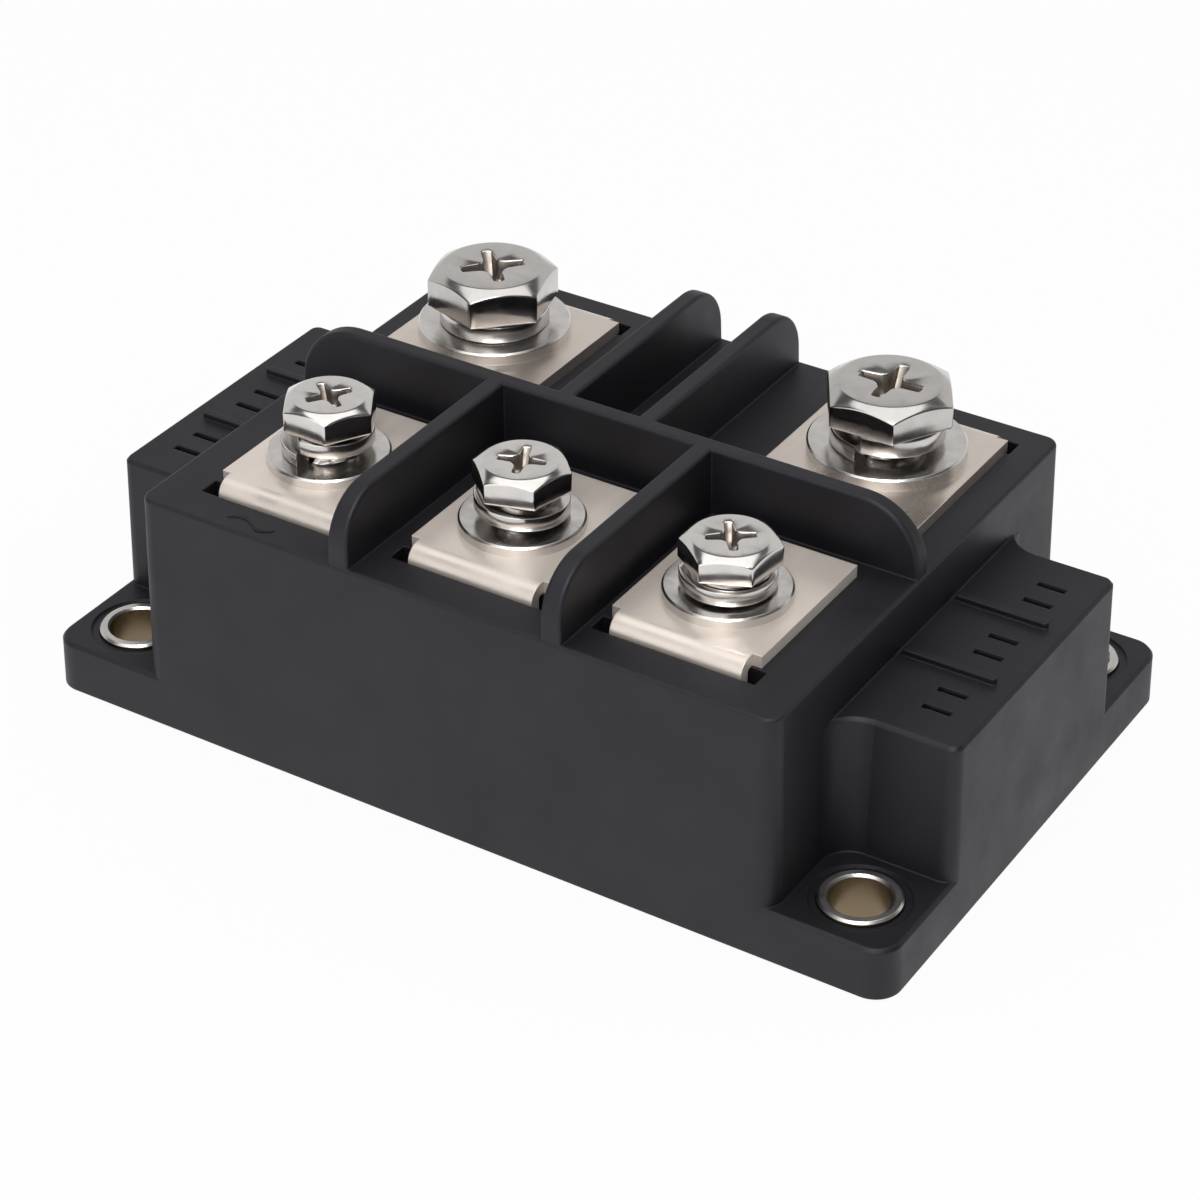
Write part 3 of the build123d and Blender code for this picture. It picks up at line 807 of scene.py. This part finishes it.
def make_phase_mark(material):
    """The thin wave sign on the deck before the first AC terminal; its darker colour is painted shade."""
    low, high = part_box("ac_terminal_1")
    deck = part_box("ac_1_nut")[1].z
    centre = Vector(((low.x + high.x) / 2 - MARK_INSET, low.y - MARK_BEFORE, deck + MARK_GAP))
    bm = bmesh.new()
    verts = bmesh.ops.create_grid(bm, x_segments=MARK_STEPS, y_segments=1, size=0.5)["verts"]
    for vert in verts:
        run, across = vert.co.x, vert.co.y
        slope = 2 * pi * MARK_SWING / MARK_LENGTH * cos(2 * pi * run)
        side = Vector((-slope, 1, 0)).normalized() * MARK_LINE * across
        vert.co = centre + Vector((run * MARK_LENGTH, -MARK_SWING * sin(2 * pi * run), 0)) + side
    faces = bmesh.ops.extrude_face_region(bm, geom=bm.faces[:])["geom"]
    raised = [v for v in faces if isinstance(v, bmesh.types.BMVert)]
    bmesh.ops.translate(bm, verts=raised, vec=(0, 0, MARK_HEIGHT))
    return finish_mesh(bm, "phase_mark", material)


class RECTIFIER_OT_housing(bpy.types.Operator):
    """Finish the moulded housing"""

    bl_idname = "rectifier.housing"
    bl_label = "Housing"

    def execute(self, context):
        paint(["housing"], moulded_plastic())
        # painted shade: the wave sign is a thin raised ribbon darker than the moulding
        mark = make_phase_mark(grained("wave_sign_painted_shade", (0.002, 0.002, 0.002), 0.7))
        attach(mark, "root")
        return {"FINISHED"}


class RECTIFIER_OT_terminals(bpy.types.Operator):
    """Finish the bent terminals in nickel plate"""

    bl_idname = "rectifier.terminals"
    bl_label = "Terminals"

    def execute(self, context):
        metal = context.scene.rectifier_metal
        # painted shade: the rear terminals get a copy of the same nickel made darker, 0.93 of its colour, and
        # more metallic than the front copy
        front_sheet_tone, rear_sheet_painted_darker = tuple(metal.sheet), shade(metal.sheet, 0.93)
        front = plated_sheet("front_nickel_sheet", front_sheet_tone, 0.5, 0.26, 0.44, DRAWN_LINES, 0.28)
        rear = plated_sheet("rear_nickel_sheet_painted_darker", rear_sheet_painted_darker, 0.92, 0.24, 0.40, DRAWN_LINES, 0.28)
        paint(named("ac_terminal"), front)
        paint(named("dc_terminal"), rear)
        return {"FINISHED"}


class RECTIFIER_OT_screws(bpy.types.Operator):
    """Build the detailed terminal screws and finish the nuts"""

    bl_idname = "rectifier.screws"
    bl_label = "Terminal screws"

    def execute(self, context):
        metal = context.scene.rectifier_metal
        small = plated_fastener("bright_nickel", tuple(metal.bright), 0.10, 0.20)
        large = plated_fastener("grey_nickel", shade(metal.bright, 0.80), 0.12, 0.22)
        # painted shade: the cross recesses get a darker, warmer metal on their inner faces
        recess = plated_fastener("recess_nickel_painted_shade", (0.30, 0.265, 0.235), 0.32, 0.48)
        for name in BOLTS:
            screw = make_screw(name, small if name.startswith("ac") else large, recess)
            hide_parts(name + "_bolt")
            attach(screw, "root")
        paint([name + "_nut" for name in BOLTS], grained("zinc_nut", (0.62, 0.60, 0.55), 0.32, 1.0))
        return {"FINISHED"}


class RECTIFIER_OT_washers(bpy.types.Operator):
    """Build the lock washers and finish the flat washers"""

    bl_idname = "rectifier.washers"
    bl_label = "Washers"

    def execute(self, context):
        metal = context.scene.rectifier_metal
        flat = plated_fastener("washer_nickel", shade(metal.bright, 0.98), 0.16, 0.30)
        spring = plated_fastener("lock_washer_nickel", shade(metal.bright, 0.92), 0.14, 0.26)
        paint([name + "_washer" for name in BOLTS], flat)
        for name in BOLTS:
            washer = make_spring_washer(name, spring)
            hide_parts(name + "_spring_washer")
            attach(washer, "root")
        return {"FINISHED"}


class RECTIFIER_OT_bushings(bpy.types.Operator):
    """Finish the mounting bushings and the cooling plate"""

    bl_idname = "rectifier.bushings"
    bl_label = "Bushings and baseplate"

    def execute(self, context):
        paint(named("mounting_bushing"), bushing_metal())
        lapped = plated_sheet("lapped_nickel", (0.66, 0.63, 0.58), 0.92, 0.30, 0.42, LAPPED_LINES, 0.3)
        paint(["baseplate"], lapped)
        return {"FINISHED"}


class RECTIFIER_OT_power_stage(bpy.types.Operator):
    """Finish the substrates, chips, straps, busbars, gel and gate contacts"""

    bl_idname = "rectifier.power_stage"
    bl_label = "Power stage"

    def execute(self, context):
        metal = context.scene.rectifier_metal
        paint(named("substrate"), substrate_ceramic())
        paint(named("chip"), grained("silicon_chip", (0.20, 0.21, 0.23), 0.22, 0.6))
        paint(named("strap", "busbar"), grained("bare_copper", tuple(metal.copper), 0.34, 1.0))
        paint(named("gate_contacts"), grained("tinned_brass", (0.78, 0.74, 0.66), 0.26, 1.0))
        gel = grained("silicone_gel", (0.86, 0.88, 0.88), 0.12, 0.0, 0.02, Transmission_Weight=0.85, IOR=1.41)
        paint(["silicone_gel"], gel)
        return {"FINISHED"}


def area_light(name, place, aim, size, power):
    """A soft white rectangular lamp that points at a spot."""
    data = bpy.data.lights.new(name, "AREA")
    data.shape = "RECTANGLE"
    data.size, data.size_y = size
    data.energy = power
    lamp = bpy.data.objects.new(name, data)
    lamp.location = place
    lamp.rotation_mode = "QUATERNION"
    lamp.rotation_quaternion = (Vector(aim) - Vector(place)).to_track_quat("-Z", "Y")
    bpy.context.scene.collection.objects.link(lamp)


def seen_directly(tree):
    """1 for rays from the camera, in mirrors and through glass."""
    path = tree.nodes.new("ShaderNodeLightPath")
    both = new_node(tree, "ShaderNodeMath", operation="MAXIMUM")
    every = new_node(tree, "ShaderNodeMath", operation="MAXIMUM")
    tree.links.new(path.outputs["Is Camera Ray"], both.inputs[0])
    tree.links.new(path.outputs["Is Glossy Ray"], both.inputs[1])
    tree.links.new(both.outputs["Value"], every.inputs[0])
    tree.links.new(path.outputs["Is Transmission Ray"], every.inputs[1])
    return every.outputs["Value"]


def soft_step(tree, source, low, high):
    """0 below low and 1 above high, or the other way round, with a soft passage."""
    node = new_node(
        tree,
        "ShaderNodeMapRange",
        interpolation_type="SMOOTHSTEP",
        input_From_Min=min(low, high),
        input_From_Max=max(low, high),
        input_To_Min=float(low > high),
        input_To_Max=float(low < high),
    )
    tree.links.new(source, node.inputs["Value"])
    return node.outputs["Result"]


def product(tree, first, second):
    """Two masks multiplied."""
    node = new_node(tree, "ShaderNodeMath", operation="MULTIPLY")
    tree.links.new(first, node.inputs[0])
    tree.links.new(second, node.inputs[1])
    return node.outputs["Value"]


def along(tree, direction, axis):
    """How far a direction goes along an axis."""
    node = new_node(tree, "ShaderNodeVectorMath", operation="DOT_PRODUCT")
    node.inputs[1].default_value = axis
    tree.links.new(direction, node.inputs[0])
    return node.outputs["Value"]


def tent_level(tree):
    """Brightness of what metal mirrors: a white roof, a grey sweep behind, a softbox front left."""
    look = bpy.context.scene.rectifier_stage
    place = tree.nodes.new("ShaderNodeTexCoord")
    direction = place.outputs["Generated"]
    flat = new_node(tree, "ShaderNodeVectorMath", operation="MULTIPLY")
    flat.inputs[1].default_value = (1.0, 1.0, 0.0)
    level = new_node(tree, "ShaderNodeVectorMath", operation="NORMALIZE")
    tree.links.new(direction, flat.inputs[0])
    tree.links.new(flat.outputs["Vector"], level.inputs[0])
    rise = along(tree, direction, (0, 0, 1))
    to_camera = along(tree, direction, (sin(look.azimuth), -cos(look.azimuth), 0))
    box_turn = look.azimuth + look.softbox_turn
    to_box = along(tree, level.outputs["Vector"], (sin(box_turn), -cos(box_turn), 0))
    behind = soft_step(tree, to_camera, *SWEEP_START)
    roof = soft_step(tree, rise, *look.roof_edge)
    outer, inner = look.softbox_half + SOFTBOX_FADE, look.softbox_half - SOFTBOX_FADE
    softbox = soft_step(tree, to_box, cos(outer), cos(inner))
    gap = product(tree, behind, soft_step(tree, rise, *look.sweep_edge))
    levels = (
        (softbox, look.softbox_level),
        (behind, look.sweep_level),
        (gap, look.dark_level),
        (roof, look.roof_level),
    )
    colour = (look.dark_level,) * 3
    for mask, brightness in levels:
        colour = colour_mix(tree, mask, colour, (brightness,) * 3)
    return colour


def make_world():
    """White to the eye, a light tent in reflections, an even light on surfaces."""
    look = bpy.context.scene.rectifier_stage
    world = bpy.data.worlds.new("studio")
    bpy.context.scene.world = world
    world.use_nodes = True
    tree = world.node_tree
    tree.nodes.clear()
    even = new_node(tree, "ShaderNodeBackground", input_Strength=look.even_light)
    white = new_node(tree, "ShaderNodeBackground", input_Strength=1.0)
    white.inputs["Color"].default_value = (1.0, 1.0, 1.0, 1.0)
    tent = new_node(tree, "ShaderNodeBackground", input_Strength=1.0)
    tree.links.new(tent_level(tree), tent.inputs["Color"])
    path = tree.nodes.new("ShaderNodeLightPath")
    mirrored = tree.nodes.new("ShaderNodeMixShader")
    seen = tree.nodes.new("ShaderNodeMixShader")
    output = tree.nodes.new("ShaderNodeOutputWorld")
    tree.links.new(path.outputs["Is Glossy Ray"], mirrored.inputs[0])
    tree.links.new(even.outputs["Background"], mirrored.inputs[1])
    tree.links.new(tent.outputs["Background"], mirrored.inputs[2])
    direct = new_node(tree, "ShaderNodeMath", operation="MAXIMUM")
    tree.links.new(path.outputs["Is Camera Ray"], direct.inputs[0])
    tree.links.new(path.outputs["Is Transmission Ray"], direct.inputs[1])
    tree.links.new(direct.outputs["Value"], seen.inputs[0])
    tree.links.new(mirrored.outputs["Shader"], seen.inputs[1])
    tree.links.new(white.outputs["Background"], seen.inputs[2])
    tree.links.new(seen.outputs["Shader"], output.inputs["Surface"])


def make_floor():
    """A pale floor that reads as white and keeps the object's soft shadow."""
    look = bpy.context.scene.rectifier_stage
    bm = bmesh.new()
    bmesh.ops.create_grid(bm, x_segments=1, y_segments=1, size=FLOOR_HALF)
    bmesh.ops.translate(bm, verts=bm.verts, vec=(0, 0, CAD_BOUNDS[0].z - FLOOR_GAP))
    material = bpy.data.materials.new("studio_floor")
    material.use_nodes = True
    tree = material.node_tree
    tree.nodes.clear()
    diffuse = tree.nodes.new("ShaderNodeBsdfDiffuse")
    diffuse.inputs["Color"].default_value = (*look.floor_colour, 1.0)
    glow = new_node(tree, "ShaderNodeEmission", input_Strength=1.0)
    mix = tree.nodes.new("ShaderNodeMixShader")
    level = new_node(tree, "ShaderNodeMath", operation="MULTIPLY")
    level.inputs[1].default_value = look.floor_glow
    output = tree.nodes.new("ShaderNodeOutputMaterial")
    tree.links.new(seen_directly(tree), level.inputs[0])
    tree.links.new(level.outputs["Value"], mix.inputs[0])
    tree.links.new(diffuse.outputs["BSDF"], mix.inputs[1])
    tree.links.new(glow.outputs["Emission"], mix.inputs[2])
    tree.links.new(mix.outputs["Shader"], output.inputs["Surface"])
    floor = finish_mesh(bm, "floor", material)


class RECTIFIER_OT_stage(bpy.types.Operator):
    """Set up the floor, the studio light and the camera"""

    bl_idname = "rectifier.stage"
    bl_label = "Studio"

    def execute(self, context):
        look = context.scene.rectifier_stage
        make_world()
        make_floor()
        area_light("front_softbox", **SOFTBOX)
        turn, rise = look.azimuth, look.elevation
        back = Vector((sin(turn) * cos(rise), -cos(turn) * cos(rise), sin(rise)))
        camera = bpy.data.objects.new("camera", bpy.data.cameras.new("camera"))
        camera.data.sensor_width = SENSOR_WIDTH
        camera.data.lens = look.lens
        camera.data.clip_start = 0.01
        camera.data.clip_end = 20.0
        camera.location = Vector(look.target) + back * look.distance
        camera.rotation_mode = "QUATERNION"
        camera.rotation_quaternion = (-back).to_track_quat("-Z", "Y")
        context.scene.collection.objects.link(camera)
        context.scene.camera = camera
        context.scene.view_settings.view_transform = "Standard"
        return {"FINISHED"}


class RECTIFIER_PT_panel(bpy.types.Panel):
    """Lists the steps that dress the module"""

    bl_label = "Rectifier module"
    bl_idname = "RECTIFIER_PT_panel"
    bl_space_type = "VIEW_3D"
    bl_region_type = "UI"
    bl_category = "Rectifier"

    def draw(self, context):
        for step in STEPS:
            self.layout.operator(step.bl_idname)


STEPS = (
    RECTIFIER_OT_housing,
    RECTIFIER_OT_terminals,
    RECTIFIER_OT_screws,
    RECTIFIER_OT_washers,
    RECTIFIER_OT_bushings,
    RECTIFIER_OT_power_stage,
    RECTIFIER_OT_stage,
)
SETTINGS = {
    "rectifier_plastic": RectifierPlastic,
    "rectifier_metal": RectifierMetal,
    "rectifier_screws": RectifierScrews,
    "rectifier_stage": RectifierStage,
}


def register():
    """Makes the settings, the steps and the panel known."""
    for name, group in SETTINGS.items():
        bpy.utils.register_class(group)
        setattr(bpy.types.Scene, name, PointerProperty(type=group))
    for step in STEPS:
        bpy.utils.register_class(step)
    bpy.utils.register_class(RECTIFIER_PT_panel)


def unregister():
    """Takes them back."""
    bpy.utils.unregister_class(RECTIFIER_PT_panel)
    for step in reversed(STEPS):
        bpy.utils.unregister_class(step)
    for name, group in SETTINGS.items():
        delattr(bpy.types.Scene, name)
        bpy.utils.unregister_class(group)


def main():
    """Runs every step in order."""
    register()
    for step in STEPS:
        area, name = step.bl_idname.split(".")
        getattr(getattr(bpy.ops, area), name)()


if __name__ == "__main__":
    main()
